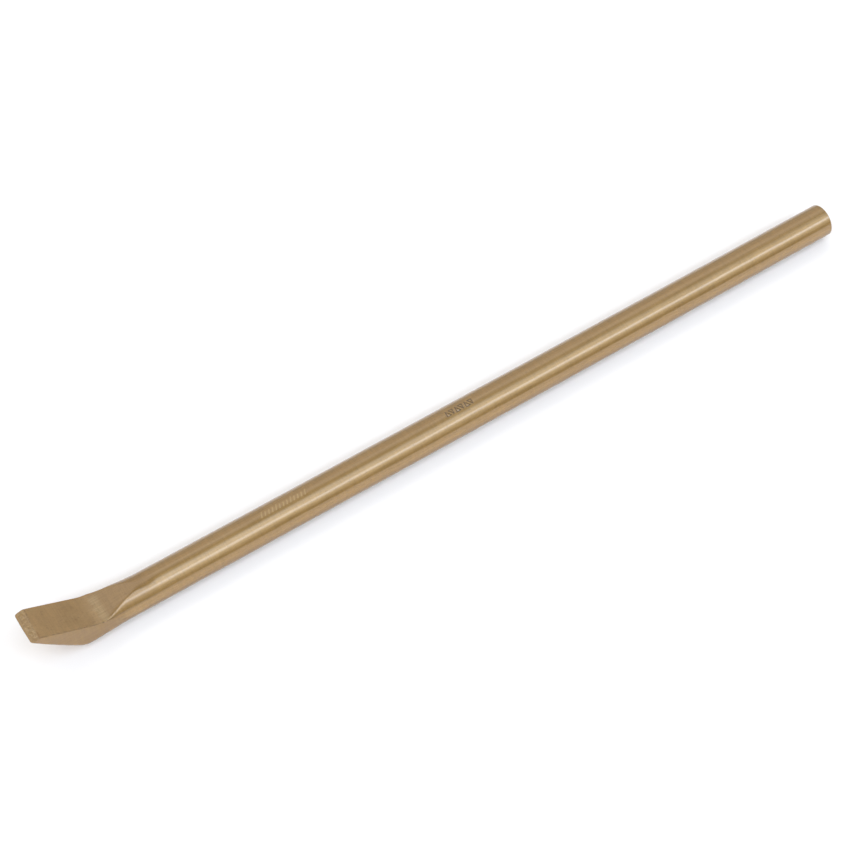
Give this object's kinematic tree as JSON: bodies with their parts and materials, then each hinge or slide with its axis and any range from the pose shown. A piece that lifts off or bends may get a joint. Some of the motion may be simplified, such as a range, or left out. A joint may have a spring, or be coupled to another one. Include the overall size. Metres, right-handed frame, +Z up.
{
  "type": "pry bar",
  "caption": "Straight round pry bar with a flat chisel blade turned up at one end and a plain butt at the other, for levering and prying",
  "frame": {"origin": "bottom centre of the bounding box, with the bar's straight underside on Z = 0", "axes": "+X runs along the bar from the blade to the butt, +Z is up with the blade's flat side up, and Y = 0 is the mirror plane"},
  "size_m": [0.5, 0.0196, 0.033],
  "materials": {
    "bronze": "satin, lengthwise ground"
  },
  "bodies": {
    "root": {"pry_bar": "bronze"}
  },
  "joints": []
}
